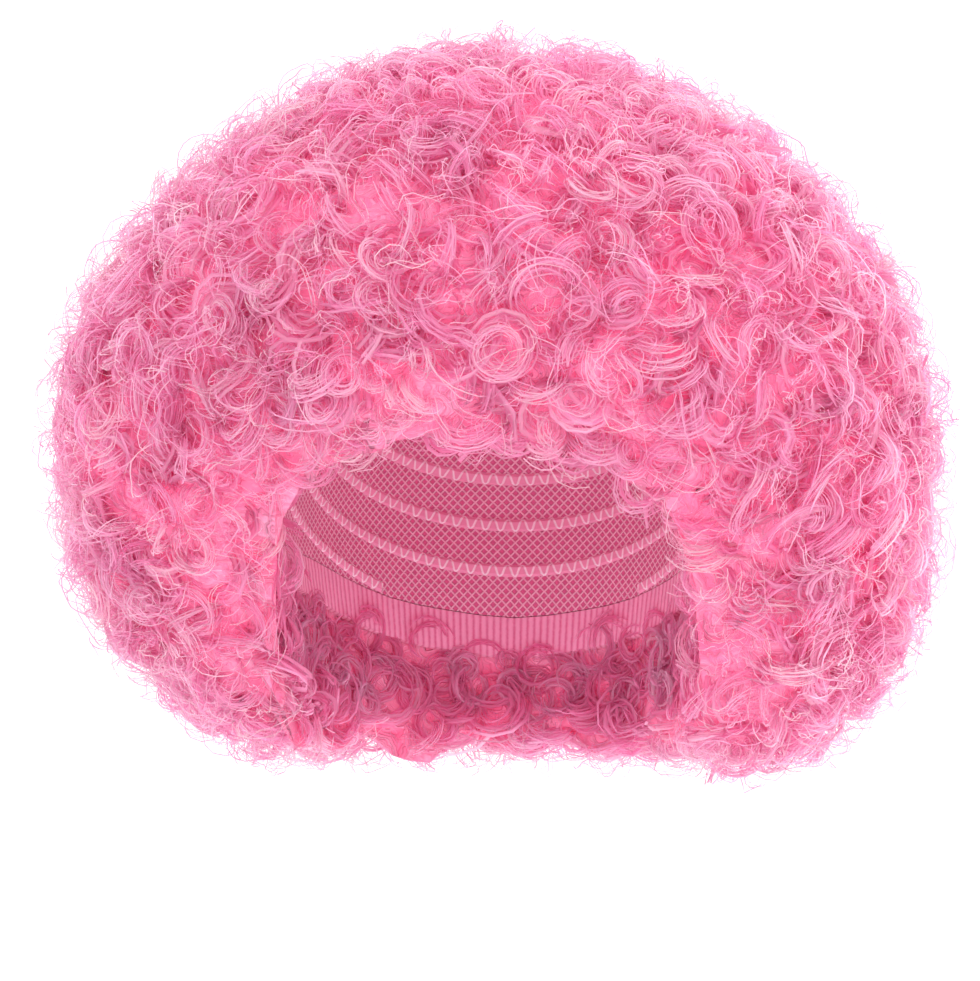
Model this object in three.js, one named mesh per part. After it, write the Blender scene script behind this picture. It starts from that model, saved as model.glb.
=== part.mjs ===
// A short curly clown wig as it is worn: a stretch cap with an elastic edge, and five wefts of curled hair
// sewn round it. Millimetres, +Z up. The origin is the top of the wearer's head, on the cap's inside.
// The face looks along -Y, and +X is the wearer's left.
import * as THREE from 'three';

// The head hollow
const headBreadth = 156;      // inside the cap, at the level where the head is widest
const headLength = 196;
const crownHeight = 95;       // from the widest level up to the top of the head
const jawTaper = 0.17;        // share of the breadth lost a crown's height below the widest level

// The cap and its elastic
const capWall = 1.7;
const bandWall = 2;
const bandWidth = 14;
const bandSeam = 0.4;         // between the cap's cut edge and the elastic

// The hair
const hairDepth = 66;         // how far the valleys between the curls stand off the cap
const rootGap = 0.7;          // between the elastic's outer face and the hair's roots
const weftGap = 0.7;          // between one weft of hair and the next, at the roots
const curlSize = 33;          // across one ringed curl
const curlRelief = 10;        // from the top of a curl down to the valley beside it
const curlEye = 0.35;         // height of a curl's middle, as a share of the relief
const curlRing = 0.55;        // radius of a curl's raised ring, as a share of half its size
const curlTurn = 25;          // the most that a curl is turned in its place, in degrees
const curlLean = 0.35;        // the most that one side of a curl is raised above the other
const lowestCurl = 0.7;       // height of the lowest curls, as a share of the relief

// The whorl is the middle of the cap, which every weft of hair goes round
const whorlTilt = 38;         // how far it lies behind the top of the head, in degrees
const wefts = [
  { name: 'whorl_weft', curlRows: 2 },
  { name: 'crown_weft', curlRows: 2 },
  { name: 'upper_weft', curlRows: 2 },
  { name: 'lower_weft', curlRows: 2 },
  { name: 'hairline_weft', curlRows: 2 },
];

// Facets
const curlSteps = 4;          // along each side of a curl's place
const rootSteps = 2;          // along the roots of one curl, round the head
const rootRings = 3;          // along the roots of one weft, from the whorl outwards
const capColumns = 48;
const capRings = 10;

// Where the hair and the cap end, from the middle of the forehead round one side to the nape. The bearing
// runs round the whorl from 0 towards the face. hair and cap are angles from the whorl, seen from the middle
// of the head, and the hair rounds off to its end over the angle called lip. All are in degrees.
const edges = [
  { place: 'forehead', bearing: 0, hair: 107.5, cap: 101, lip: 38 },
  { place: 'temple', bearing: 45, hair: 109, cap: 101.5, lip: 38 },
  { place: 'cheekbone', bearing: 75, hair: 118, cap: 109, lip: 40 },
  { place: 'cheek', bearing: 103, hair: 123, cap: 97, lip: 43 },
  { place: 'jaw', bearing: 122, hair: 121, cap: 89, lip: 47 },
  { place: 'below the ear', bearing: 136, hair: 113, cap: 86, lip: 50 },
  { place: 'behind the ear', bearing: 150, hair: 104, cap: 84, lip: 52 },
  { place: 'side of the nape', bearing: 167, hair: 97, cap: 82, lip: 54 },
  { place: 'nape', bearing: 180, hair: 95, cap: 82, lip: 54 },
];
const lipStretch = 1.3;       // how much longer the rounded lip is than the same angle on the outside

// Where the outline swells or draws in. azimuth is from the face towards the wearer's left, polar is from
// straight up and spread is how far the swelling reaches, in degrees. share is of the hair's depth.
const swellings = [
  { place: 'upper left', azimuth: 90, polar: 63, spread: 32, share: 0.14 },
  { place: 'upper right', azimuth: -90, polar: 63, spread: 32, share: 0.13 },
  { place: 'forehead', azimuth: 0, polar: 60, spread: 36, share: -0.16 },
  { place: 'back', azimuth: 180, polar: 85, spread: 46, share: -0.08 },
  { place: 'low right', azimuth: -92, polar: 130, spread: 17, share: -0.34 },
  { place: 'low left', azimuth: 95, polar: 112, spread: 18, share: 0.13 },
  { place: 'left dent', azimuth: 94, polar: 84, spread: 8, share: -0.1 },
  { place: 'right dent', azimuth: -88, polar: 88, spread: 9, share: -0.06 },
  { place: 'top dent', azimuth: -80, polar: 38, spread: 11, share: -0.05 },
];

const { degToRad, seededRandom, lerp, clamp } = THREE.MathUtils;
const wholeTurn = 2 * Math.PI;
const headCentre = new THREE.Vector3(0, 0, -crownHeight);
const rootStand = Math.max(capWall, bandWall) + rootGap;

// The unit vector at an angle from straight up, with the azimuth counted from the face, both in radians.
function aimFromTop(azimuth, angle) {
  const out = Math.sin(angle);
  return new THREE.Vector3(out * Math.sin(azimuth), -out * Math.cos(azimuth), Math.cos(angle));
}

// The same from the whorl, where turns runs from 0 towards the face to 1 all the way round.
const leftward = new THREE.Vector3(1, 0, 0);
const aimFromWhorl = (turns, angle) => aimFromTop(turns * wholeTurn, angle)
  .applyAxisAngle(leftward, -degToRad(whorlTilt));

// The table of edges as a smooth function that is the same on both sides.
const edgeColumns = ['hair', 'cap', 'lip'];
const edgeCurve = new THREE.CubicInterpolant(
  edges.map(({ bearing }) => bearing),
  edges.flatMap((row) => edgeColumns.map((column) => degToRad(row[column]))),
  edgeColumns.length,
);
edgeCurve.settings = { endingStart: THREE.ZeroSlopeEnding, endingEnd: THREE.ZeroSlopeEnding };

function edgeAt(turns) {
  const bearing = 360 * Math.abs(turns - Math.round(turns));
  const [hair, cap, lip] = edgeCurve.evaluate(bearing);
  return { hair, cap, lip };
}

// From the head's middle to its surface: an ellipsoid above the widest level, a tapering tube below.
function headRadius(aim) {
  const across = Math.hypot(aim.x / (headBreadth / 2), aim.y / (headLength / 2));
  const upright = aim.z / crownHeight;
  return upright > 0 ? 1 / Math.hypot(across, upright) : 1 / (across - jawTaper * upright);
}

const placeAt = (aim, radius) => aim.clone().multiplyScalar(radius).add(headCentre);

// How far the valleys between the curls stand off the roots.
const swellingAims = swellings.map(({ azimuth, polar, spread, share }) => ({
  aim: aimFromTop(degToRad(azimuth), degToRad(polar)),
  spread: degToRad(spread),
  share,
}));

function hairStand(aim, angle, edge) {
  const swell = swellingAims.reduce(
    (sum, one) => sum + one.share * Math.exp(-((aim.angleTo(one.aim) / one.spread) ** 2)), 1);
  const rounding = clamp(1 - (edge.hair - angle) / edge.lip, 0, 1);
  return hairDepth * swell * Math.sqrt(1 - rounding ** 2);
}

// The angle from the whorl at a share of the way to the hair's end, measured along the curls' outside.
function angleAt(share, edge) {
  const top = edge.hair - edge.lip;
  const lipWay = edge.lip * lipStretch;
  const way = share * (top + lipWay);
  return way < top ? way : top + edge.lip * Math.sin(((way - top) / lipWay) * (Math.PI / 2));
}

// Rows of curls lie evenly along that way. The first has one curl in its middle, so it is half as wide.
const rowCount = wefts.reduce((sum, { curlRows }) => sum + curlRows, 0);
const shareAtRow = (row) => Math.max(0, (row - 0.5) / (rowCount - 0.5));

// The root of the hair and the valley outside it, at an angle from the whorl.
function rootPoint(turns, angle) {
  const aim = aimFromWhorl(turns, angle);
  return placeAt(aim, headRadius(aim) + rootStand);
}

function valleyPoint(turns, angle) {
  const aim = aimFromWhorl(turns, angle);
  return placeAt(aim, headRadius(aim) + rootStand + hairStand(aim, angle, edgeAt(turns)));
}

// A point on the curls, raised from the valleys' surface along its normal.
const slopeStep = 1e-3;

function curlPoint(turns, share, height) {
  const valleyAt = (t, s) => valleyPoint(t, angleAt(s, edgeAt(t)));
  const point = valleyAt(turns, share);
  const along = point.clone().sub(valleyAt(turns, share - slopeStep));
  const round = valleyAt(turns + slopeStep, share).sub(point);
  return point.addScaledVector(along.cross(round).normalize(), curlRelief * height);
}

// A ring of points round the whorl. Each entry has its point and the turn at which it stands.
const ringOf = (count, firstTurn, pointAt) => Array.from({ length: count }, (_, column) => {
  const turns = firstTurn + column / count;
  return { turns, point: pointAt(turns, column) };
});
const poleOf = (point) => [{ turns: 0, point }];

// Fills the strip between two rings, which may have different numbers of points.
function stitch(upper, lower, addFace) {
  const at = (ring, i) => ring[i % ring.length];
  const turnsAt = (ring, i) => at(ring, i).turns + Math.floor(i / ring.length);
  const steps = (ring) => (ring.length > 1 ? ring.length : 0);
  let i = 0;
  let j = 0;
  while (i < steps(upper) || j < steps(lower)) {
    const onUpper = j >= steps(lower)
      || (i < steps(upper) && turnsAt(upper, i + 1) <= turnsAt(lower, j + 1));
    addFace(at(upper, i), at(lower, j), onUpper ? at(upper, i + 1) : at(lower, j + 1));
    if (onUpper) i += 1;
    else j += 1;
  }
}

// A closed body through a list of rings, which goes all the way round or runs from pole to pole.
function loft(rings) {
  const positions = [];
  const indexes = new Map();
  const indexOf = (entry) => {
    if (!indexes.has(entry)) indexes.set(entry, positions.push(...entry.point) / 3 - 1);
    return indexes.get(entry);
  };
  const corners = [];
  const addFace = (...entries) => corners.push(...entries.map(indexOf));
  const strips = rings[0].length > 1 ? rings.length : rings.length - 1;
  for (let k = 0; k < strips; k += 1) stitch(rings[k], rings[(k + 1) % rings.length], addFace);
  const geometry = new THREE.BufferGeometry();
  geometry.setAttribute('position', new THREE.Float32BufferAttribute(positions, 3));
  geometry.setIndex(corners);
  geometry.computeVertexNormals();
  return geometry;
}

// How many curls fit round a row, from the length of its middle line, and the turn at which they start.
const curlCounts = Array.from({ length: rowCount }, (_, row) => {
  const middle = (shareAtRow(row) + shareAtRow(row + 1)) / 2;
  const line = ringOf(capColumns, 0, (turns) => curlPoint(turns, middle, 1));
  const length = line.reduce((sum, { point }, i) => sum + point.distanceTo(line.at(i - 1).point), 0);
  return Math.max(6, Math.round(length / curlSize));
});
const firstTurns = curlCounts.map((count, row) => (row % 2) / 2 / count);

// How a curl is turned, which side of it is raised and how tall it is, the same on every run.
function curlLook(row, curl) {
  seededRandom(1 + row * rowCount ** 2 + curl);
  return {
    twist: degToRad(curlTurn) * (2 * seededRandom() - 1),
    lean: curlLean * seededRandom(),
    leanWay: wholeTurn * seededRandom(),
    height: lerp(lowestCurl, 1, seededRandom()),
  };
}

// A point of one curl, where across and along run from -1 to 1 over its place: a low middle, a raised ring
// round it halfway out, and valleys along its sides.
function pointOnCurl(row, curl, across, along) {
  const look = curlLook(row, curl);
  const outward = 2 * Math.max(Math.abs(across), Math.abs(along));
  const size = (curlRing * outward) / (Math.hypot(across, along) || 1);
  const x = size * (across * Math.cos(look.twist) - along * Math.sin(look.twist));
  const y = size * (across * Math.sin(look.twist) + along * Math.cos(look.twist));
  const lean = 1 + look.lean * (x * Math.cos(look.leanWay) + y * Math.sin(look.leanWay));
  const height = outward < 1 ? lerp(curlEye, 1, outward) : 2 - outward;
  const share = lerp(shareAtRow(row), shareAtRow(row + 1), (y + 1) / 2);
  const turns = firstTurns[row] + (curl + (x + 1) / 2) / curlCounts[row];
  return curlPoint(turns, share, look.height * lean * height);
}

// One ring of points on a row of curls. step counts from the row's upper valley.
function ringOnRow(row, step) {
  const along = (2 * step) / curlSteps - 1;
  const share = lerp(shareAtRow(row), shareAtRow(row + 1), step / curlSteps);
  return ringOf(curlCounts[row] * curlSteps, firstTurns[row], (turns, column) => {
    const across = (2 * (column % curlSteps)) / curlSteps - 1;
    if (across === -1 || along === -1) return curlPoint(turns, share, 0);
    return pointOnCurl(row, Math.floor(column / curlSteps), across, along);
  });
}

// The single curl on the whorl: its middle, and the ring round it.
function whorlCurl() {
  const aim = aimFromWhorl(0, 0);
  const eye = valleyPoint(0, 0).addScaledVector(aim, curlRelief * curlEye);
  return [poleOf(eye), ringOf(2 * curlSteps, 0, (turns) => curlPoint(turns, shareAtRow(1) * curlRing, 1))];
}

// The rings where a weft meets the next one. side is 1 for the weft outside the border, -1 for the one
// inside it. Both sides have their points at the same turns, so that the gap between them is even.
function borderRings(row, side) {
  const angle = (turns) => angleAt(shareAtRow(row), edgeAt(turns)) + (side * weftGap) / 2 / crownHeight;
  const count = curlCounts[row];
  return {
    valley: ringOf(count * curlSteps, firstTurns[row], (turns) => valleyPoint(turns, angle(turns))),
    root: ringOf(count * rootSteps, firstTurns[row], (turns) => rootPoint(turns, angle(turns))),
  };
}

// The rings along the roots of one weft, from its outer side to its inner side.
function rootRingsOf(firstRow, nextRow) {
  return Array.from({ length: rootRings - 1 }, (_, i) => {
    const share = lerp(shareAtRow(nextRow), shareAtRow(firstRow), (i + 1) / rootRings);
    const row = Math.max(1, Math.round(lerp(nextRow - 1, firstRow, i / (rootRings - 1))));
    const angle = (turns) => angleAt(share, edgeAt(turns));
    return ringOf(curlCounts[row] * rootSteps, firstTurns[row], (turns) => rootPoint(turns, angle(turns)));
  });
}

// The hair's end, where the last curls and their roots meet.
function hairEndRing() {
  const count = curlCounts.at(-1) * rootSteps;
  return ringOf(count, firstTurns.at(-1), (turns) => rootPoint(turns, edgeAt(turns).hair));
}

// One weft: its rows of curls, fused to the backing that carries their roots.
function weftGeometry(firstRow, nextRow) {
  const curls = [];
  for (let row = firstRow; row < nextRow; row += 1) {
    if (row === 0) curls.push(...whorlCurl());
    else for (let step = row > firstRow ? 0 : 1; step < curlSteps; step += 1) curls.push(ringOnRow(row, step));
  }
  const outer = nextRow < rowCount ? borderRings(nextRow, -1) : null;
  const outerSide = outer ? [outer.valley, outer.root] : [hairEndRing()];
  const roots = rootRingsOf(firstRow, nextRow);
  if (firstRow === 0) return loft([...curls, ...outerSide, ...roots, poleOf(rootPoint(0, 0))]);
  const inner = borderRings(firstRow, 1);
  return loft([inner.valley, ...curls, ...outerSide, ...roots, inner.root]);
}

// A ring of the cap or the elastic: a share of the way from the whorl to a line that runs a distance in
// millimetres above the cap's edge.
function capRing(aboveEdge, share, wall) {
  return ringOf(capColumns, 0, (turns) => {
    const { cap } = edgeAt(turns);
    const aim = aimFromWhorl(turns, share * (cap - aboveEdge / headRadius(aimFromWhorl(turns, cap))));
    return placeAt(aim, headRadius(aim) + wall);
  });
}

function capGeometry() {
  const aim = aimFromWhorl(0, 0);
  const face = (wall) => [
    poleOf(placeAt(aim, headRadius(aim) + wall)),
    ...Array.from({ length: capRings }, (_, k) => capRing(bandWidth + bandSeam, (k + 1) / capRings, wall)),
  ];
  return loft([...face(capWall), ...face(0).reverse()]);
}

function bandGeometry() {
  const lines = [bandWidth, bandWidth / 2, 0];
  const face = (wall) => lines.map((aboveEdge) => capRing(aboveEdge, 1, wall));
  return loft([...face(bandWall), ...face(0).reverse()]);
}

const hairFibre = new THREE.MeshStandardMaterial({ color: '#f07fae', roughness: 0.55, metalness: 0 });
const capNet = new THREE.MeshStandardMaterial({ color: '#d86f95', roughness: 0.9, metalness: 0 });
const elastic = new THREE.MeshStandardMaterial({ color: '#c9658a', roughness: 0.8, metalness: 0 });

const wig = new THREE.Group();

function addPiece(name, geometry, material) {
  const mesh = new THREE.Mesh(geometry, material);
  mesh.name = name;
  wig.add(mesh);
}

addPiece('cap', capGeometry(), capNet);
addPiece('elastic_edge', bandGeometry(), elastic);
let firstRow = 0;
for (const { name, curlRows } of wefts) {
  addPiece(name, weftGeometry(firstRow, firstRow + curlRows), hairFibre);
  firstRow += curlRows;
}

export default wig;
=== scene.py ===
# A short, full, tightly curled clown wig in candyfloss pink, held up as it is when worn
import math

import bpy
import numpy as np
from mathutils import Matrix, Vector
from mathutils.bvhtree import BVHTree
from mathutils.kdtree import KDTree


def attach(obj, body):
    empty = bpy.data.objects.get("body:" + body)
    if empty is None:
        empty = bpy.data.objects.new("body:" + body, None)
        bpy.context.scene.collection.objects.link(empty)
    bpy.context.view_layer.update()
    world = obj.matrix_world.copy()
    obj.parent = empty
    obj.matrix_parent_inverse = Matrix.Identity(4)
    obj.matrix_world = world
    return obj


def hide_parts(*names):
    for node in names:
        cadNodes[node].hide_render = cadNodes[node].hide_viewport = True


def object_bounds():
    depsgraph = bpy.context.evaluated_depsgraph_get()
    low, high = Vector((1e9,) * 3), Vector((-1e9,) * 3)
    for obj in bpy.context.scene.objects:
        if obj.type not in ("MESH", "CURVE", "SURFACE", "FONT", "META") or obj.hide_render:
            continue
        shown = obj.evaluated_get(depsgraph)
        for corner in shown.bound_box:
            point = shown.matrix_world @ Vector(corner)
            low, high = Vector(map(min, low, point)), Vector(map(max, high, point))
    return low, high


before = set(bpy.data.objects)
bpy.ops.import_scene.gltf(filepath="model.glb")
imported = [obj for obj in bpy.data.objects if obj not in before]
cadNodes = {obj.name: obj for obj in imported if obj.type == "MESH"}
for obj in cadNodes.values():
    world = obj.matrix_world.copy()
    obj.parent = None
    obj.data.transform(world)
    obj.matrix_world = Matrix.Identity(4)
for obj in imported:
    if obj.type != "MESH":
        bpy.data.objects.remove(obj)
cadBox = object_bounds()
mm = 0.001
print("frame loaded:", ", ".join(sorted(cadNodes)))


# Camera: straight on, a little from the wearer's left, at the height of the brow
camera = {
    "distance": 1.7,              # metres to the middle of the hair
    "azimuth": 5,                 # degrees
    "elevation": 2,
    "aim": (-0.001, 0, -0.082),   # what lies in the middle of the picture
    "pixelsPerMetre": 2860,       # there
    "imageWidth": 980,
    "sensorWidth": 36,
}


def placeCamera():
    turn = math.radians(camera["azimuth"])
    rise = math.radians(camera["elevation"])
    back = Vector((math.sin(turn) * math.cos(rise), -math.cos(turn) * math.cos(rise), math.sin(rise)))
    data = bpy.data.cameras.new("camera")
    data.sensor_fit = "HORIZONTAL"
    data.sensor_width = camera["sensorWidth"]
    data.lens = camera["sensorWidth"] * camera["pixelsPerMetre"] * camera["distance"] / camera["imageWidth"]
    eye = bpy.data.objects.new("camera", data)
    eye.location = Vector(camera["aim"]) + back * camera["distance"]
    eye.rotation_euler = back.to_track_quat("Z", "Y").to_euler()
    bpy.context.scene.collection.objects.link(eye)
    bpy.context.scene.camera = eye


placeCamera()
print("camera placed")


noiseMean = 0.5                   # what a noise texture gives on average


# Colours are written as sRGB hex and turned linear here
def linear(hexColour):
    parts = [int(hexColour[i:i + 2], 16) / 255 for i in (1, 3, 5)]
    return [c / 12.92 if c <= 0.04045 else ((c + 0.055) / 1.055) ** 2.4 for c in parts] + [1.0]


# Adds a node with its settings. An input is given by name or, as _0, by number, and takes a value or a link.
def addNode(tree, kind, settings=None, **inputs):
    node = tree.nodes.new(kind)
    for name, value in (settings or {}).items():
        setattr(node, name, value)
    for name, value in inputs.items():
        socket = node.inputs[int(name[1:])] if name[1:].isdigit() else node.inputs[name.replace("_", " ")]
        if isinstance(value, bpy.types.NodeSocket):
            tree.links.new(value, socket)
        else:
            socket.default_value = value
    return node


def newMaterial(name):
    material = bpy.data.materials.new(name)
    material.use_nodes = True
    material.node_tree.nodes.clear()
    return material, material.node_tree


def addRamp(tree, factor, stops):
    node = addNode(tree, "ShaderNodeValToRGB", Fac=factor)
    elements = node.color_ramp.elements
    while len(elements) < len(stops):
        elements.new(0.5)
    for element, (position, hexColour) in zip(elements, stops):
        element.position = position
        element.color = linear(hexColour)
    return node.outputs[0]


# Ends a material in its shader. letThrough is the share of light that passes on through the fibres.
def finish(tree, letThrough=0, **inputs):
    shader = addNode(tree, "ShaderNodeBsdfPrincipled", **inputs)
    if letThrough:
        glow = addNode(tree, "ShaderNodeBsdfTranslucent")
        tree.links.new(shader.inputs["Base Color"].links[0].from_socket, glow.inputs["Color"])
        shader = addNode(tree, "ShaderNodeMixShader", _0=letThrough, _1=shader.outputs[0],
                         _2=glow.outputs[0])
    addNode(tree, "ShaderNodeOutputMaterial", Surface=shader.outputs[0])


def newPiece(name, mesh, slot, *replaced):
    piece = bpy.data.objects.new(name, mesh)
    bpy.context.scene.collection.objects.link(piece)
    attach(piece, "root")
    if replaced:
        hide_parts(*replaced)
    return piece


# Modacrylic fibre, drawn smooth and crimped with steam. It gives a soft gloss along each fibre. Its colour is
# painted light and shade: pale where a curl stands proud and a hotter pink deeper in, standing for the light
# that has passed through other fibres. The map's u is a fibre's own tone and runs across a lock, so streaks
# that follow u look like fibres side by side. Its v is how far out a fibre lies, and sets how much painted
# shade it gets.
hairFibre = {
    "tones": [(0.1, "#fca6d2"), (0.4, "#fcc7e5"), (0.7, "#fddaea"), (0.95, "#ffe8ef")],
    # painted shade: the hotter pink given to fibres deep in the hair
    "paintedShadeTone": "#fea6d2",
    "streaks": (60, 3, 1),        # over the whole run of tones, about two to a millimetre, and along a fibre
    "streakTone": 0.45,           # how much of the run of tones the streaks take in
    "streakRelief": 0.3 * mm,
    "streakStrength": 0.5,
    "gloss": 0.38,
    "ior": 1.5,
    "sheen": 0.12,
    "sheenTone": "#ffdcef",
    "letThrough": 0.72,
}


def hairFibreMaterial():
    material, tree = newMaterial("steam_crimped_modacrylic_fibre")
    place = addNode(tree, "ShaderNodeUVMap", {"uv_map": "OFBake"})
    split = addNode(tree, "ShaderNodeSeparateXYZ", Vector=place.outputs[0])
    stretch = addNode(tree, "ShaderNodeMapping", Vector=place.outputs[0], Scale=hairFibre["streaks"])
    streak = addNode(tree, "ShaderNodeTexNoise", {"noise_dimensions": "2D"}, Vector=stretch.outputs[0],
                     Scale=1.0, Detail=2.0)
    shift = addNode(tree, "ShaderNodeMath", {"operation": "SUBTRACT"}, _0=streak.outputs[0], _1=noiseMean)
    tone = addNode(tree, "ShaderNodeMath", {"operation": "MULTIPLY_ADD"}, _0=shift.outputs[0],
                   _1=hairFibre["streakTone"], _2=split.outputs[0])
    surface = addRamp(tree, tone.outputs[0], hairFibre["tones"])
    # Painted shade: a fibre deep in the hair is mixed toward the painted shade tone, one at the outline keeps
    # its own tone
    colour = addNode(tree, "ShaderNodeMix", {"data_type": "RGBA"}, _0=split.outputs[1],
                     _6=linear(hairFibre["paintedShadeTone"]), _7=surface)
    bump = addNode(tree, "ShaderNodeBump", Height=streak.outputs[0], Strength=hairFibre["streakStrength"],
                   Distance=hairFibre["streakRelief"])
    finish(tree, hairFibre["letThrough"], Base_Color=colour.outputs[2], Roughness=hairFibre["gloss"],
           IOR=hairFibre["ior"], Sheen_Weight=hairFibre["sheen"],
           Sheen_Tint=linear(hairFibre["sheenTone"]), Normal=bump.outputs[0])
    return material


# The thick of the hair, where crimped fibres cross too closely to be told apart: matt and swirled in curls.
# It is painted a hotter pink than the single fibres, painted shade of the hair's thick, and each curl is
# painted paler half way out than at its hollow and its edge, painted light and shade of its swell. Real
# fibres are 0.1 mm, drawn here as strings of 0.7 mm so that they show.
hairBacking = {
    # painted shade: a hotter pink than the fibres' own tones
    "tones": [(0.35, "#ff74a1"), (0.58, "#ff83ae"), (0.78, "#ff95bb"), (0.98, "#ffa8ca")],
    "curlSize": 13 * mm,
    "fibreSize": 0.7 * mm,
    "crimpSize": 6 * mm,
    "crimp": 5 * mm,              # how far the crimps bend a curl
    "curlSpread": (0, 40, 40),    # sets the strings of one curl apart from those of the next
    # painted light and shade: a curl is painted paler where it swells out and darker at its hollow and its
    # edge
    "swell": 0.3,                 # how much paler a curl is half way out than at its hollow and its edge
    "swellTurn": 4,               # radians from a curl's hollow to the next curl's
    "relief": 1.6 * mm,
    "roughness": 0.6,
    "shine": 0.15,                # less than on a single fibre, because the matted ones scatter it
    "depth": 8.5 * mm,            # under the hair's smoothed outline
    "skin": 1.2 * mm,             # the least that is left of it over the roots
    "lipTurn": 0.3,               # from here on a place belongs wholly to the rounded rim
    "lipEdge": 6 * mm,            # over this width the rim's inner edge stays where it is
    "shadeTurn": 0.35,            # a face that turns further from the outline is shaded flat
}
# The rim of the hair is drawn up into it, so that the fringe ends where the outline does
rim = {
    "tuck": 7 * mm,
    "sideShare": 0.4,             # of the tuck, beside the face
    "fullTurn": 0.6,              # how far round the rim it reaches its full size
    "faceOut": 2.5,               # how strongly the curls of the rim face out instead of down
    "liningEnds": 10 * mm,        # the curls inside keep this far from the rim
}


def hairBackingMaterial():
    material, tree = newMaterial("matted_crimped_fibre")
    place = addNode(tree, "ShaderNodeTexCoord").outputs["Object"]
    crimp = addNode(tree, "ShaderNodeTexNoise", Vector=place, Scale=1 / hairBacking["crimpSize"],
                    Detail=2.0)
    bent = addNode(tree, "ShaderNodeVectorMath", {"operation": "MULTIPLY_ADD"}, _0=crimp.outputs["Color"],
                   _1=[hairBacking["crimp"]] * 3, _2=place)
    curls = addNode(tree, "ShaderNodeTexVoronoi", Vector=bent.outputs[0], Scale=1 / hairBacking["curlSize"])
    across = addNode(tree, "ShaderNodeMath", {"operation": "MULTIPLY"}, _0=curls.outputs["Distance"],
                     _1=hairBacking["curlSize"] / hairBacking["fibreSize"])
    ring = addNode(tree, "ShaderNodeCombineXYZ", X=across.outputs[0])
    own = addNode(tree, "ShaderNodeVectorMath", {"operation": "MULTIPLY_ADD"}, _0=curls.outputs["Color"],
                  _1=hairBacking["curlSpread"], _2=ring.outputs[0])
    fibres = addNode(tree, "ShaderNodeTexNoise", Vector=own.outputs[0], Scale=1.0, Detail=2.0)
    # Painted light and shade: each curl is painted paler half way out than at its hollow and its edge
    outwards = addNode(tree, "ShaderNodeMath", {"operation": "MULTIPLY"}, _0=curls.outputs["Distance"],
                       _1=hairBacking["swellTurn"])
    swell = addNode(tree, "ShaderNodeMath", {"operation": "SINE"}, _0=outwards.outputs[0])
    tone = addNode(tree, "ShaderNodeMath", {"operation": "MULTIPLY_ADD"}, _0=swell.outputs[0],
                   _1=hairBacking["swell"], _2=fibres.outputs[0])
    colour = addRamp(tree, tone.outputs[0], hairBacking["tones"])
    bump = addNode(tree, "ShaderNodeBump", Height=tone.outputs[0], Distance=hairBacking["relief"])
    finish(tree, Base_Color=colour, Roughness=hairBacking["roughness"],
           Specular_IOR_Level=hairBacking["shine"], Normal=bump.outputs[0])
    return material


fibreMaterial = hairFibreMaterial()
backingMaterial = hairBackingMaterial()
print("hair materials made")


headCentre = np.array([0.0, 0.0, -0.095])     # the middle of the head, at its widest level
wefts = [name for name in cadNodes if name.endswith("_weft")]


def unit(vectors):
    return vectors / np.maximum(np.linalg.norm(vectors, axis=-1, keepdims=True), 1e-12)


def trianglesOf(name):
    mesh = cadNodes[name].data
    mesh.calc_loop_triangles()
    corners = np.empty(len(mesh.vertices) * 3)
    mesh.vertices.foreach_get("co", corners)
    faces = np.empty(len(mesh.loop_triangles) * 3, np.int32)
    mesh.loop_triangles.foreach_get("vertices", faces)
    return corners.reshape(-1, 3), faces.reshape(-1, 3)


def treeOf(*names):
    corners, faces, first = [], [], 0
    for name in names:
        places, triples = trianglesOf(name)
        corners.append(places)
        faces.append(triples + first)
        first += len(places)
    return BVHTree.FromPolygons(np.concatenate(corners).tolist(), np.concatenate(faces).tolist())


def frameOf(corners, faces):
    a, b, c = (corners[faces[:, i]] for i in range(3))
    cross = np.cross(b - a, c - a)
    return (a + b + c) / 3, unit(cross), np.linalg.norm(cross, axis=1) / 2


# The outline of the hair without its single curls, which the backing and the curls both follow
hairOutline = {
    "offFace": 0.05 * mm,         # where a ray from a face starts
    "cover": 2 * mm,              # a neighbour nearer than this covers a face
    "inward": -0.5,               # a face that turns further to the middle of the head is on the inside
    "samplesPerArea": 25000,      # in one square metre
    "reach": 16 * mm,             # how far round a place the surface counts for the outline there
    "block": 400,                 # places worked out at a time
    "seam": 3 * mm,               # corners of two wefts that lie nearer than this are joined
    "beside": 1.5 * mm,           # the roots are looked for this far to each side of a place
}
everySolid = treeOf(*cadNodes)


# A weft's faces that show: those with no neighbour just in front of them, sorted into the outside of the
# hair and the inside below the cap
def facesShown(name):
    corners, faces = trianglesOf(name)
    middles, normals, _ = frameOf(corners, faces)
    starts = middles + normals * hairOutline["offFace"]
    shown = np.array([everySolid.ray_cast(Vector(start), Vector(normal), hairOutline["cover"])[0] is None
                      for start, normal in zip(starts, normals)])
    inside = np.einsum("ij,ij->i", normals, unit(middles - headCentre)) < hairOutline["inward"]
    return shown & ~inside, shown & inside


def scatter(rng, corners, faces, count):
    _, normals, areas = frameOf(corners, faces)
    pick = rng.choice(len(faces), count, p=areas / areas.sum())
    u, v = rng.random((2, count, 1))
    flip = u + v > 1
    u, v = np.where(flip, 1 - u, u), np.where(flip, 1 - v, v)
    a, b, c = (corners[faces[pick, i]] for i in range(3))
    return a + u * (b - a) + v * (c - a), normals[pick]


# Keeps places that lie at least the spacing apart, in the order in which they come
def thinOut(places, spacing):
    kept = [0]
    for i in range(1, len(places)):
        if np.min(np.sum((places[kept] - places[i]) ** 2, axis=1)) > spacing ** 2:
            kept.append(i)
    return np.array(kept)


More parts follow.
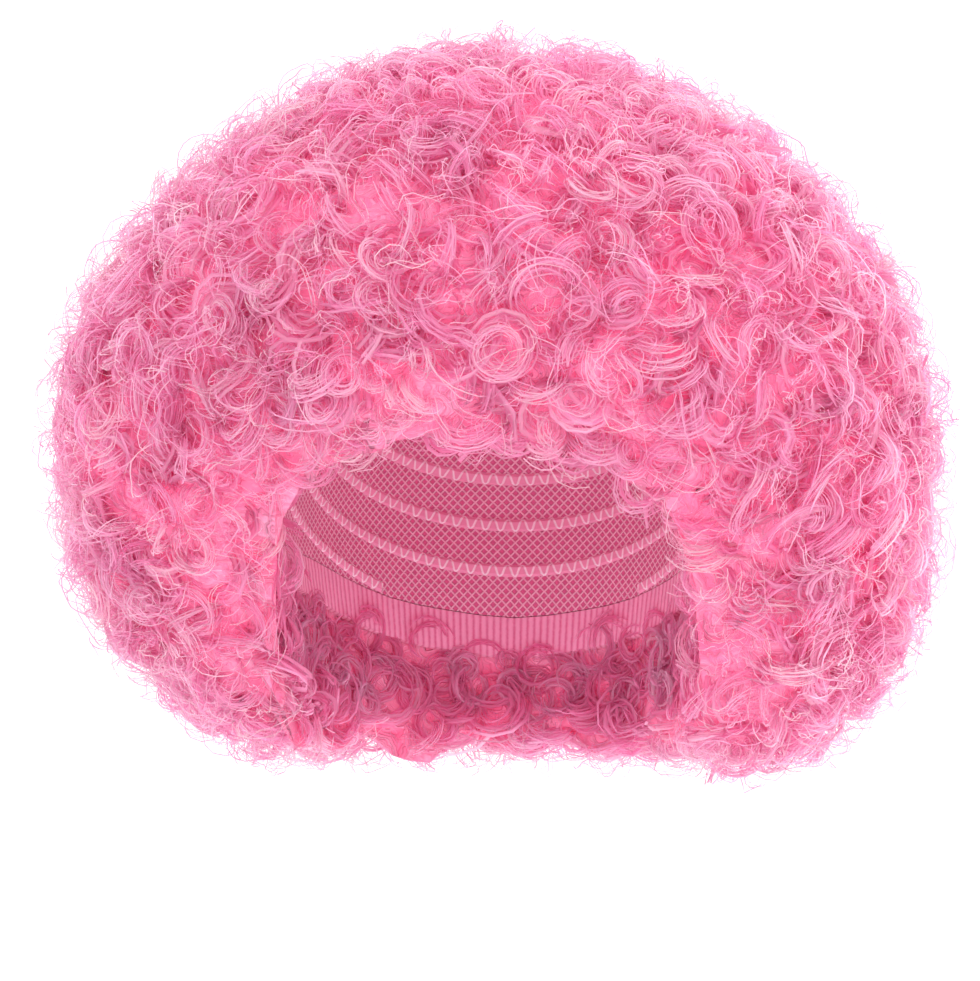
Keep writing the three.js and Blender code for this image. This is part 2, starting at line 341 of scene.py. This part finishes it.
isOuter, isInner, outerFaces, innerFaces = {}, {}, {}, {}
for weft in wefts:
    isOuter[weft], isInner[weft] = facesShown(weft)
    outerFaces[weft] = trianglesOf(weft)[1][isOuter[weft]]
    innerFaces[weft] = trianglesOf(weft)[1][isInner[weft]]

rng = np.random.default_rng(7)
outlineSamples = []
for weft in wefts:
    corners, _ = trianglesOf(weft)
    area = frameOf(corners, outerFaces[weft])[2].sum()
    count = int(hairOutline["samplesPerArea"] * area)
    outlineSamples.append(scatter(rng, corners, outerFaces[weft], count))
outlinePlaces = np.concatenate([s[0] for s in outlineSamples])
outlineNormals = np.concatenate([s[1] for s in outlineSamples])


# The outline near each of the given places, and which way it faces there
def smoothOutline(places):
    means, normals = [], []
    for block in np.array_split(places, max(1, len(places) // hairOutline["block"])):
        gap = np.sum((block[:, None] - outlinePlaces[None]) ** 2, axis=2)
        weight = np.exp(-gap / hairOutline["reach"] ** 2)
        means.append(weight @ outlinePlaces / weight.sum(axis=1, keepdims=True))
        normals.append(unit(weight @ outlineNormals))
    return np.concatenate(means), np.concatenate(normals)


outlineTree = KDTree(len(outlinePlaces))
for number, place in enumerate(outlinePlaces):
    outlineTree.insert(place, number)
outlineTree.balance()
print("hair surface sampled at", len(outlinePlaces), "places")


# The wefts' corners with the seams between neighbours drawn shut, as loose hair does over them
def closeSeams():
    joined = {name: trianglesOf(name)[0] for name in wefts}
    for name in wefts:
        own = trianglesOf(name)[0]
        others = np.concatenate([trianglesOf(other)[0] for other in wefts if other != name])
        near = KDTree(len(others))
        for i, place in enumerate(others):
            near.insert(place, i)
        near.balance()
        for i, place in enumerate(own):
            neighbour, _, distance = near.find(place)
            if distance < hairOutline["seam"]:
                joined[name][i] = (place + np.array(neighbour)) / 2
    return joined


joinedCorners = closeSeams()


# How far from the middle of the head the roots start below a place, looked for a little to each side of it
weftTree = treeOf(*wefts)


def rootDistance(place):
    sides = hairOutline["beside"] * np.array([(1, 1, 1), (1, -1, -1), (-1, 1, -1), (-1, -1, 1)])
    hits = [weftTree.ray_cast(Vector(headCentre), Vector(place - headCentre + side)) for side in sides]
    return min([hit[3] for hit in hits if hit[0] is not None], default=np.linalg.norm(place - headCentre))


# The normals at a mesh's corners as the mean of the given faces round them
def cornerNormals(corners, faces):
    _, normals, areas = frameOf(corners, faces)
    summed = np.zeros_like(corners)
    np.add.at(summed, faces.ravel(), np.repeat(normals * areas[:, None], 3, axis=0))
    return unit(summed)


# How far each corner of a weft is drawn in under the curls, as far as the roots below it allow
def backingDrop(places, means, normals):
    radial = unit(places - headCentre)
    room = np.linalg.norm(places - headCentre, axis=1) - np.array([rootDistance(place) for place in places])
    turned = np.clip((1 - np.einsum("ij,ij->i", normals, radial)) / hairBacking["lipTurn"], 0, 1)
    onRim = turned * np.clip(room / hairBacking["lipEdge"], 0, 1) * (rim["tuck"] + hairBacking["depth"])
    wanted = np.einsum("ij,ij->i", places - means, normals) + hairBacking["depth"]
    return np.clip(np.minimum(wanted, room - hairBacking["skin"] + onRim), 0, None)


# The backing of a weft: its solid, drawn in. Its outside is shaded as the smoothed outline is, so that
# neighbouring wefts run into each other.
def backWeft(name):
    places = joinedCorners[name]
    _, faces = trianglesOf(name)
    means, normals = smoothOutline(places)
    drop = backingDrop(places, means, normals)
    corners = places - normals * drop[:, None]
    flat = frameOf(corners, faces)[1]
    shaded = np.einsum("ij,ij->i", flat, normals[faces].mean(axis=1)) > hairBacking["shadeTurn"]
    loopNormals = np.repeat(flat[:, None], 3, axis=1)
    loopNormals[shaded] = normals[faces[shaded]]
    loopNormals[isInner[name]] = cornerNormals(corners, innerFaces[name])[innerFaces[name]]
    mesh = bpy.data.meshes.new(name + "_backing")
    mesh.from_pydata(corners.tolist(), [], faces.tolist())
    mesh.polygons.foreach_set("use_smooth", np.ones(len(faces), bool))
    mesh.normals_split_custom_set(loopNormals.reshape(-1, 3).tolist())
    mesh.materials.append(backingMaterial)
    newPiece(name + "_backing", mesh, "hair_fibre", name)


nearUpright = 0.8                 # the upward share from which an axis takes its helper from the side


# Two directions square to each of the given ones
def squareTo(axes):
    helper = np.where(np.abs(axes[:, 2:]) < nearUpright, [[0.0, 0.0, 1.0]], [[1.0, 0.0, 0.0]])
    first = unit(np.cross(axes, helper))
    return first, np.cross(axes, first)


# Coiled locks. Each grows round its own axis, with its last turn at the hair's surface and the rest below,
# and is pushed in where it would stand more than its ceiling above the outline. Rim is how far round the
# rounded rim they grow, from 0 for its outer side to 1 for its lower. Lengths are in millimetres, angles in
# degrees.
curlLooks = {
    # broad bunches of fibres that fill the hair
    "locks": {"spacing": 14, "sink": 4, "ceiling": 1, "rim": 0.6, "fibres": 8, "steps": 13, "lean": (5, 65),
              "radius": (6, 11), "turns": (0.9, 1.4), "bundle": 2.8, "tighten": 0.3, "depth": 6, "frizz": 0.7,
              "width": 1.4, "roll": 0.6, "tone": 0.4, "clumpTone": 0.14, "fibreTone": 0.08},
    # the rings that show at the surface
    "ringlets": {"spacing": 12, "sink": 1.5, "ceiling": 5, "rim": 1, "fibres": 13, "steps": 20,
                 "lean": (0, 75), "radius": (4.5, 10.5), "turns": (0.9, 1.6), "bundle": 2.0, "tighten": 0.35,
                 "depth": 7, "frizz": 0.6, "width": 0.56, "roll": 0.8, "tone": 0.45, "clumpTone": 0.14,
                 "fibreTone": 0.1},
    # stray fibres that have sprung loose
    "frizz": {"spacing": 7.2, "sink": -0.5, "ceiling": 9, "rim": 1, "fibres": 3, "steps": 15,
              "lean": (30, 90), "radius": (3.5, 10), "turns": (0.5, 1.1), "bundle": 2.2, "tighten": 0.3,
              "depth": 4, "frizz": 1.1, "width": 0.34, "roll": 1.5, "tone": 0.5, "clumpTone": 0.2,
              "fibreTone": 0.12},
}
# The curls inside, below the cap. Their low tone is painted shade: the hotter pink of fibres in the shaded
# inside.
liningLook = {"spacing": 8, "sink": -3.5, "ceiling": 9, "fibres": 9, "steps": 15, "lean": (0, 20),
              "radius": (4, 10), "turns": (0.8, 1.3), "bundle": 1.8, "tighten": 0.4, "depth": 2.6,
              "frizz": 0.5, "width": 1.0, "roll": 0.4, "tone": 0.15, "clumpTone": 0.14, "fibreTone": 0.1}
# What all the locks have in common
fibreHabit = {
    "waves": (1, 3.4),            # crimps along one fibre
    "turnSpread": (0.86, 1.1),    # of a lock's turns, for each of its fibres
    "startSpread": 0.16,          # radians
    "narrows": 0.45,              # how much narrower a lock is at its tip
    "flatness": 0.7,              # how thick a lock is to its width
    "widthSpread": (0.7, 1.3),
    "taper": 4,                   # the last quarter of a fibre narrows
    "tipWidth": 0.3,              # to this share
    "tipTone": 0.1,               # how much paler a fibre is at its tip
    "twist": 1.2,                 # radians along a fibre
    "tonePerWidth": 35,           # how much of the run of tones one metre of width takes in
    "toneEnds": (0.01, 0.99),
    # painted shade: below the outline a fibre's colour goes over to the painted shade tone
    "paleAt": 3 * mm,             # above the outline a fibre has its full tone
    "paintedShadeOver": 13 * mm,          # over this depth below that it comes to the deep one
    "fewestFaces": 20,            # a weft with fewer faces than this on the inside has no curls there
    "tries": (5, 10),             # places tried for each square of the spacing, and some more
}


# The axis that each lock coils round, which leans a random way from straight out
def curlAxes(rng, outward, look):
    first, second = squareTo(outward)
    way = rng.random((len(outward), 1)) * 2 * np.pi
    lean = np.radians(rng.uniform(*look["lean"], (len(outward), 1)))
    return outward * np.cos(lean) + (first * np.cos(way) + second * np.sin(way)) * np.sin(lean)


# The points along every fibre of the locks, at the shares t of its length
def coilPoints(rng, middles, axis, look, t):
    count, fibres = len(middles), look["fibres"]
    each, every = (count, 1, 1), (count, fibres, 1)
    first, second = squareTo(axis)
    turns = rng.uniform(*look["turns"], each) * rng.uniform(*fibreHabit["turnSpread"], every)
    turns = turns * rng.choice([-1, 1], each)
    angle = 2 * np.pi * (rng.random(each) + turns * t) + rng.normal(0, fibreHabit["startSpread"], every)
    spread = look["bundle"] * mm * (1 - fibreHabit["narrows"] * t)
    waves = []
    for _ in range(2):
        phase = rng.uniform(*fibreHabit["waves"], every) * t + rng.random(every)
        waves.append(look["frizz"] * mm * np.sin(2 * np.pi * phase))
    size = rng.uniform(*look["radius"], each) * mm * (1 + look["tighten"] * (0.5 - t))
    size = size + rng.normal(0, 1, every) * spread + waves[0]
    rise = (t - 1) * look["depth"] * mm + rng.normal(0, fibreHabit["flatness"], every) * spread + waves[1]
    points = sum(part[..., None] * way[:, None, None] for part, way in
                 ((size * np.cos(angle), first), (size * np.sin(angle), second), (rise, axis)))
    return (points + middles[:, None, None]).reshape(count * fibres, len(t), 3)


# The width, tone and roll of every fibre along its length
def fibreLooks(rng, count, look, t):
    fibres = (count * look["fibres"], 1)
    taper = np.minimum(1, fibreHabit["taper"] * (1 - t) + fibreHabit["tipWidth"])
    width = look["width"] * mm * rng.uniform(*fibreHabit["widthSpread"], fibres) * taper
    tone = np.repeat(rng.normal(look["tone"], look["clumpTone"], count), look["fibres"])[:, None]
    tone = tone + rng.normal(0, look["fibreTone"], fibres) + fibreHabit["tipTone"] * t
    roll = rng.normal(0, look["roll"], fibres) + rng.normal(0, fibreHabit["twist"], fibres) * t
    return width, tone, roll


# Ribbons along the fibres of one look: their corners, normals, tone map and faces. The normals are rounded
# across a ribbon, so that it catches the light as a round fibre does.
def ribbonsOn(points, width, tone, depth, roll):
    count, steps = points.shape[:2]
    along = unit(np.gradient(points, axis=1))
    side = unit(np.cross(along, unit(points - headCentre)))
    face = np.cross(side, along)
    across = side * np.cos(roll)[..., None] + face * np.sin(roll)[..., None]
    up = face * np.cos(roll)[..., None] - side * np.sin(roll)[..., None]
    half = across * width[..., None] / 2
    places = np.stack([points - half, points + half], axis=2).reshape(-1, 3)
    normals = unit(np.stack([up - across, up + across], axis=2)).reshape(-1, 3)
    reach = fibreHabit["tonePerWidth"] * width / 2
    tones = np.stack([tone - reach, tone + reach], axis=2)
    # The map's v carries the painted shade: how deep a fibre lies
    maps = np.stack([tones, np.repeat(depth[..., None], 2, axis=2)], axis=-1).reshape(-1, 2)
    index = np.arange(count * steps * 2).reshape(count, steps, 2)
    quads = [index[:, :-1, 0], index[:, :-1, 1], index[:, 1:, 1], index[:, 1:, 0]]
    return places, normals, maps, np.stack(quads, axis=-1).reshape(-1, 4)


# One mesh from the ribbons of all the looks
def ribbonMesh(name, strands, material):
    ribbons = [ribbonsOn(*each) for each in strands]
    places, normals, maps = (np.concatenate([ribbon[i] for ribbon in ribbons]) for i in range(3))
    firsts = np.cumsum([0] + [len(ribbon[0]) for ribbon in ribbons])
    faces = np.concatenate([ribbon[3] + first for ribbon, first in zip(ribbons, firsts)])
    maps = np.clip(maps, *fibreHabit["toneEnds"])
    mesh = bpy.data.meshes.new(name)
    mesh.vertices.add(len(places))
    mesh.vertices.foreach_set("co", places.ravel())
    mesh.loops.add(faces.size)
    mesh.loops.foreach_set("vertex_index", faces.ravel())
    mesh.polygons.add(len(faces))
    mesh.polygons.foreach_set("loop_start", np.arange(0, faces.size, 4))
    mesh.polygons.foreach_set("use_smooth", np.ones(len(faces), bool))
    mesh.update(calc_edges=True)
    mesh.uv_layers.new(name="OFBake").data.foreach_set("uv", maps[faces.ravel()].ravel())
    mesh.normals_split_custom_set_from_vertices(normals.tolist())
    mesh.materials.append(material)
    return mesh


# The fibres of one look on one side of a weft, with their width, tone, depth and roll. The depth sets how
# much painted shade a fibre gets.
def strandsOn(rng, guides, side, look):
    places, means, normals, grown = (array[guides[0][:, 0] * side > 0] for array in guides)
    t = np.linspace(0, 1, look["steps"])
    axes = curlAxes(rng, grown, look)
    points = coilPoints(rng, places - normals * look["sink"] * mm, axes, look, t)
    width, tone, roll = fibreLooks(rng, len(places), look, t)
    means, normals = (np.repeat(array, look["fibres"], axis=0)[:, None] for array in (means, normals))
    height = np.sum((points - means) * normals, axis=2)
    highest = height.reshape(len(places), -1).max(axis=1) - look["ceiling"] * mm
    excess = np.repeat(np.clip(highest, 0, None), look["fibres"])[:, None]
    height = height - excess - fibreHabit["paleAt"]
    # Painted shade: 1 for a fibre at the outline, falling to 0 deep in the hair
    depth = np.clip(1 + height / fibreHabit["paintedShadeOver"], 0, 1)
    return points - normals * excess[..., None], width, tone, depth, roll


# Where the locks of one look grow on a weft: the places, the outline there, and which way they grow
def guidesOn(rng, name, faces, look, inner=False):
    spacing = look["spacing"] * mm
    corners, _ = trianglesOf(name)
    perSquare, more = fibreHabit["tries"]
    tries = int(perSquare * frameOf(corners, faces)[2].sum() / spacing ** 2) + more
    places, normals = scatter(rng, corners, faces, tries)
    kept = thinOut(places, spacing)
    if inner:
        kept = kept[[outlineTree.find(places[i])[2] > rim["liningEnds"] for i in kept]]
        return places[kept], places[kept], normals[kept], normals[kept]
    places = places[kept]
    means, normals = smoothOutline(places)
    radial = unit(places - headCentre)
    turnedIn = np.clip(1 - np.einsum("ij,ij->i", normals, radial), 0, 1)[:, None]
    grown = unit(normals + rim["faceOut"] * turnedIn * radial)
    down = np.clip(-normals[:, 2:], 0, 1)
    tuck = rim["tuck"] * (rim["sideShare"] + (1 - rim["sideShare"]) * down)
    drawnUp = normals * tuck * np.clip(turnedIn / rim["fullTurn"], 0, 1)
    within = turnedIn[:, 0] <= look["rim"]
    return [array[within] for array in (places - drawnUp, means - drawnUp, normals, grown)]


# Makes the curls of a weft, in a left and a right half, and gives back how many triangles they have
def dressWeft(rng, name):
    triangles = 0
    guides = [guidesOn(rng, name, outerFaces[name], look) for look in curlLooks.values()]
    looks = list(curlLooks.values())
    if len(innerFaces[name]) > fibreHabit["fewestFaces"]:
        guides.append(guidesOn(rng, name, innerFaces[name], liningLook, inner=True))
        looks.append(liningLook)
    for half, side in (("left", 1), ("right", -1)):
        strands = [strandsOn(rng, each, side, look) for each, look in zip(guides, looks)]
        mesh = ribbonMesh(f"{name}_curls_{half}", strands, fibreMaterial)
        newPiece(mesh.name, mesh, "hair_fibre", name)
        triangles += 2 * len(mesh.polygons)
        print(mesh.name, "has", 2 * len(mesh.polygons), "triangles")
    return triangles


triangleCount = 0
for weft in wefts:
    backWeft(weft)
    triangleCount += dressWeft(rng, weft)
print("hair made with", triangleCount, "triangles")


# Knitted stretch net over the roots of the hair: pale threads in a diamond mesh, the roots between them
# painted a deeper pink, painted shade under the net. Real net has a mesh of about 1 mm, drawn here at 3 mm so
# that it shows.
capNet = {
    "thread": "#f3a9c6",
    # painted shade: the roots seen between the threads
    "opening": "#d8558a",
    "mesh": 3 * mm,
    "threadEdge": (0.1, 0.2),     # where a thread's colour ends, as a share of the mesh
    "reliefEdge": (0.08, 0.22),   # where its rounded side begins and ends
    "relief": 0.6 * mm,
    "strength": 0.8,
    "roughness": 0.7,
    "sheen": 0.2,
    "headRadius": 88 * mm,
}


def stretchNetMaterial():
    material, tree = newMaterial("knitted_stretch_net")
    place = addNode(tree, "ShaderNodeTexCoord")
    centred = addNode(tree, "ShaderNodeVectorMath", {"operation": "SUBTRACT"}, _0=place.outputs["Object"],
                      _1=tuple(headCentre))
    around = addNode(tree, "ShaderNodeTexGradient", {"gradient_type": "RADIAL"}, Vector=centred.outputs[0])
    split = addNode(tree, "ShaderNodeSeparateXYZ", Vector=centred.outputs[0])
    length = addNode(tree, "ShaderNodeVectorMath", {"operation": "LENGTH"}, _0=centred.outputs[0])
    level = addNode(tree, "ShaderNodeMath", {"operation": "DIVIDE"}, _0=split.outputs[2],
                    _1=length.outputs[1])
    down = addNode(tree, "ShaderNodeMath", {"operation": "ARCCOSINE"}, _0=level.outputs[0])
    cells = 2 * math.pi * capNet["headRadius"] / capNet["mesh"]
    columns = addNode(tree, "ShaderNodeMath", {"operation": "MULTIPLY"}, _0=around.outputs[1],
                      _1=round(cells))
    rows = addNode(tree, "ShaderNodeMath", {"operation": "MULTIPLY"}, _0=down.outputs[0],
                   _1=cells / (2 * math.pi))
    threads = []
    for way in ("ADD", "SUBTRACT"):
        slant = addNode(tree, "ShaderNodeMath", {"operation": way}, _0=columns.outputs[0],
                        _1=rows.outputs[0])
        swing = addNode(tree, "ShaderNodeMath", {"operation": "PINGPONG"}, _0=slant.outputs[0], _1=0.5)
        threads.append(swing.outputs[0])
    nearest = addNode(tree, "ShaderNodeMath", {"operation": "MINIMUM"}, _0=threads[0], _1=threads[1])
    inner, outer = capNet["threadEdge"]
    # Painted shade: the further from a thread, the deeper the pink
    colour = addRamp(tree, nearest.outputs[0], [(inner, capNet["thread"]), (outer, capNet["opening"])])
    inner, outer = capNet["reliefEdge"]
    height = addNode(tree, "ShaderNodeMapRange", Value=nearest.outputs[0], From_Min=inner, From_Max=outer,
                     To_Min=1.0, To_Max=0.0)
    bump = addNode(tree, "ShaderNodeBump", Height=height.outputs[0], Strength=capNet["strength"],
                   Distance=capNet["relief"])
    finish(tree, Base_Color=colour, Roughness=capNet["roughness"], Sheen_Weight=capNet["sheen"],
           Normal=bump.outputs[0])
    return material


# Woven elastic tape, matt and a little paler than the net, with ribs across it and a soft lengthwise grain.
# Its grooves are painted darker than the ribs' backs, painted shade.
elasticTape = {
    "rib": "#f29cc0",
    # painted shade in the grooves between the ribs
    "groove": "#d9608f",
    "ribPitch": 2.2 * mm,
    "ribEdge": (0.12, 0.45),      # from a groove's depth to a rib's back, as a share of the pitch
    "grainSize": mm / 0.9,
    "grain": 0.25,                # how strong the grain is beside the ribs
    "relief": 0.7 * mm,
    "strength": 0.7,
    "roughness": 0.75,
    "sheen": 0.2,
    "headRadius": 80 * mm,
}


def wovenElasticMaterial():
    material, tree = newMaterial("woven_elastic_tape")
    place = addNode(tree, "ShaderNodeTexCoord")
    centred = addNode(tree, "ShaderNodeVectorMath", {"operation": "SUBTRACT"}, _0=place.outputs["Object"],
                      _1=tuple(headCentre))
    around = addNode(tree, "ShaderNodeTexGradient", {"gradient_type": "RADIAL"}, Vector=centred.outputs[0])
    count = round(2 * math.pi * elasticTape["headRadius"] / elasticTape["ribPitch"])
    turned = addNode(tree, "ShaderNodeMath", {"operation": "MULTIPLY"}, _0=around.outputs[1], _1=count)
    rib = addNode(tree, "ShaderNodeMath", {"operation": "PINGPONG"}, _0=turned.outputs[0], _1=0.5)
    grain = addNode(tree, "ShaderNodeTexNoise", Vector=place.outputs["Object"],
                    Scale=1 / elasticTape["grainSize"], Detail=2.0)
    height = addNode(tree, "ShaderNodeMath", {"operation": "MULTIPLY_ADD"}, _0=grain.outputs[0],
                     _1=elasticTape["grain"], _2=rib.outputs[0])
    low, high = elasticTape["ribEdge"]
    # Painted shade: the lower the tape lies, the darker it is painted
    colour = addRamp(tree, height.outputs[0], [(low, elasticTape["groove"]), (high, elasticTape["rib"])])
    bump = addNode(tree, "ShaderNodeBump", Height=height.outputs[0], Strength=elasticTape["strength"],
                   Distance=elasticTape["relief"])
    finish(tree, Base_Color=colour, Roughness=elasticTape["roughness"], Sheen_Weight=elasticTape["sheen"],
           Normal=bump.outputs[0])
    return material


def finishNode(name, material):
    node = cadNodes[name]
    node.data.materials.clear()
    node.data.materials.append(material)


finishNode("cap", stretchNetMaterial())
finishNode("elastic_edge", wovenElasticMaterial())
print("cap finished")


# Sewn tracks that the wefts hang from: narrow tapes in rings round the whorl, inside the net
weftTrack = {
    "tilt": 38,                   # degrees from straight up back to the whorl
    "rings": (14, 24, 34, 44, 54, 64, 74, 84, 94, 104),
    "width": 4 * mm,
    "thickness": 0.8 * mm,
    "section": ((-0.5, 0), (-0.3, 1), (0.3, 1), (0.5, 0)),   # shares of the width and the thickness
    "offCap": 0.05 * mm,
    "steps": 120,
    "tone": "#ee8fb6",
    "stitch": "#ffd9ea",
    "stitchLength": 5 * mm,       # a real one is about 2 mm, drawn longer so that it shows
    "threadEdge": (0.1, 0.22),    # where the thread's colour ends, as a share of the tape's width
    "reliefEdge": (0.08, 0.22),   # where its rounded side begins and ends
    "relief": 0.4 * mm,
    "strength": 0.6,
    "roughness": 0.7,
    "sheen": 0.2,
}


def weftTrackMaterial():
    material, tree = newMaterial("zigzag_sewn_weft_tape")
    place = addNode(tree, "ShaderNodeUVMap", {"uv_map": "stitching"})
    split = addNode(tree, "ShaderNodeSeparateXYZ", Vector=place.outputs[0])
    zigzag = addNode(tree, "ShaderNodeMath", {"operation": "PINGPONG"}, _0=split.outputs[0], _1=1.0)
    gap = addNode(tree, "ShaderNodeMath", {"operation": "SUBTRACT"}, _0=zigzag.outputs[0],
                  _1=split.outputs[1])
    size = addNode(tree, "ShaderNodeMath", {"operation": "ABSOLUTE"}, _0=gap.outputs[0])
    inner, outer = weftTrack["threadEdge"]
    colour = addRamp(tree, size.outputs[0], [(inner, weftTrack["stitch"]), (outer, weftTrack["tone"])])
    inner, outer = weftTrack["reliefEdge"]
    height = addNode(tree, "ShaderNodeMapRange", Value=size.outputs[0], From_Min=inner, From_Max=outer,
                     To_Min=1.0, To_Max=0.0)
    bump = addNode(tree, "ShaderNodeBump", Height=height.outputs[0], Strength=weftTrack["strength"],
                   Distance=weftTrack["relief"])
    finish(tree, Base_Color=colour, Roughness=weftTrack["roughness"], Sheen_Weight=weftTrack["sheen"],
           Normal=bump.outputs[0])
    return material


# Points across one place of a tape, from edge to edge and raised in the middle, or nothing off the cap
def trackSection(capTree, polar, azimuth):
    tilt = math.radians(weftTrack["tilt"])
    section = []
    for share, raised in weftTrack["section"]:
        angle = polar + share * weftTrack["width"] / capNet["headRadius"]
        x = math.sin(angle) * math.sin(azimuth)
        y = -math.sin(angle) * math.cos(azimuth)
        z = math.cos(angle)
        aim = Vector((x, y * math.cos(tilt) + z * math.sin(tilt), z * math.cos(tilt) - y * math.sin(tilt)))
        hit = capTree.ray_cast(Vector(headCentre), aim)
        if hit[0] is None:
            return None
        section.append(hit[0] - aim * (weftTrack["offCap"] + raised * weftTrack["thickness"]))
    return section


# The faces between two sections of a tape, with where each corner lies in the stitching
def trackFaces(before, after, starts, ends):
    spans = len(weftTrack["section"]) - 1
    faces, maps = [], []
    for i in range(spans):
        faces.append((before + i, before + i + 1, after + i + 1, after + i))
        low, high = i / spans, (i + 1) / spans
        maps += [(starts, low), (starts, high), (ends, high), (ends, low)]
    return faces, maps


def layTracks():
    capTree = treeOf("cap")
    corners, faces, maps = [], [], []
    steps = weftTrack["steps"]
    for ring in weftTrack["rings"]:
        polar = math.radians(ring)
        length = 2 * math.pi * math.sin(polar) * capNet["headRadius"]
        stitches = round(length / weftTrack["stitchLength"]) * 2
        before = None
        for step in range(steps + 1):
            section = trackSection(capTree, polar, 2 * math.pi * step / steps)
            if section is None:
                before = None
                continue
            after = len(corners)
            corners += section
            if before is not None:
                starts, ends = (step - 1) * stitches / steps, step * stitches / steps
                newFaces, newMaps = trackFaces(before, after, starts, ends)
                faces += newFaces
                maps += newMaps
            before = after
    mesh = bpy.data.meshes.new("weft_tracks")
    mesh.from_pydata(corners, [], faces)
    mesh.uv_layers.new(name="stitching").data.foreach_set("uv", np.array(maps).ravel())
    mesh.materials.append(weftTrackMaterial())
    newPiece("weft_tracks", mesh, "cap_net")


layTracks()
print("weft tracks sewn in")


# Studio: a pale floor well below the wig, white light from all round and one soft key from the upper right
studio = {
    "floorBelow": 0.32,           # metres under the wig
    "floorSize": 30,
    "floorTone": "#fbfbfb",
    "floorRoughness": 0.9,
    "worldTone": "#ffffff",
    "worldLight": 1.31,
    "lights": [
        # name, place, width, watts, colour
        ("key_light", (0.9, -1.7, 1.2), 1.2, 8, "#fffaf6"),
        ("fill_light", (-1.4, -1.6, 0.2), 1.5, 5, "#fdf6ff"),
        ("rim_light", (1.9, 0.5, 0.3), 1.4, 13, "#ffffff"),
        ("top_light", (0.1, 0.9, 1.6), 1.6, 9, "#ffffff"),
    ],
    "bounces": 8,                 # between the fibres, which is what makes the hollows a hotter pink
}


def layFloor():
    half = studio["floorSize"] / 2
    level = cadBox[0][2] - studio["floorBelow"]
    mesh = bpy.data.meshes.new("floor")
    corners = [(x * half, y * half, level) for x, y in ((-1, -1), (1, -1), (1, 1), (-1, 1))]
    mesh.from_pydata(corners, [], [(0, 1, 2, 3)])
    material, tree = newMaterial("matt_white_paper")
    finish(tree, Base_Color=linear(studio["floorTone"]), Roughness=studio["floorRoughness"])
    mesh.materials.append(material)
    floor = bpy.data.objects.new("floor", mesh)
    bpy.context.scene.collection.objects.link(floor)


def lightStudio():
    world = bpy.data.worlds.new("studio_light")
    world.use_nodes = True
    background = world.node_tree.nodes["Background"]
    background.inputs["Color"].default_value = linear(studio["worldTone"])
    background.inputs["Strength"].default_value = studio["worldLight"]
    bpy.context.scene.world = world
    for name, place, width, watts, tone in studio["lights"]:
        data = bpy.data.lights.new(name, "AREA")
        data.size = width
        data.energy = watts
        data.color = linear(tone)[:3]
        lamp = bpy.data.objects.new(name, data)
        lamp.location = place
        lamp.rotation_euler = (Vector(place) - Vector(camera["aim"])).to_track_quat("Z", "Y").to_euler()
        bpy.context.scene.collection.objects.link(lamp)
    bpy.context.scene.view_settings.view_transform = "Standard"
    bpy.context.scene.cycles.diffuse_bounces = studio["bounces"]
    bpy.context.scene.cycles.max_bounces = studio["bounces"]


layFloor()
lightStudio()
print("studio built")
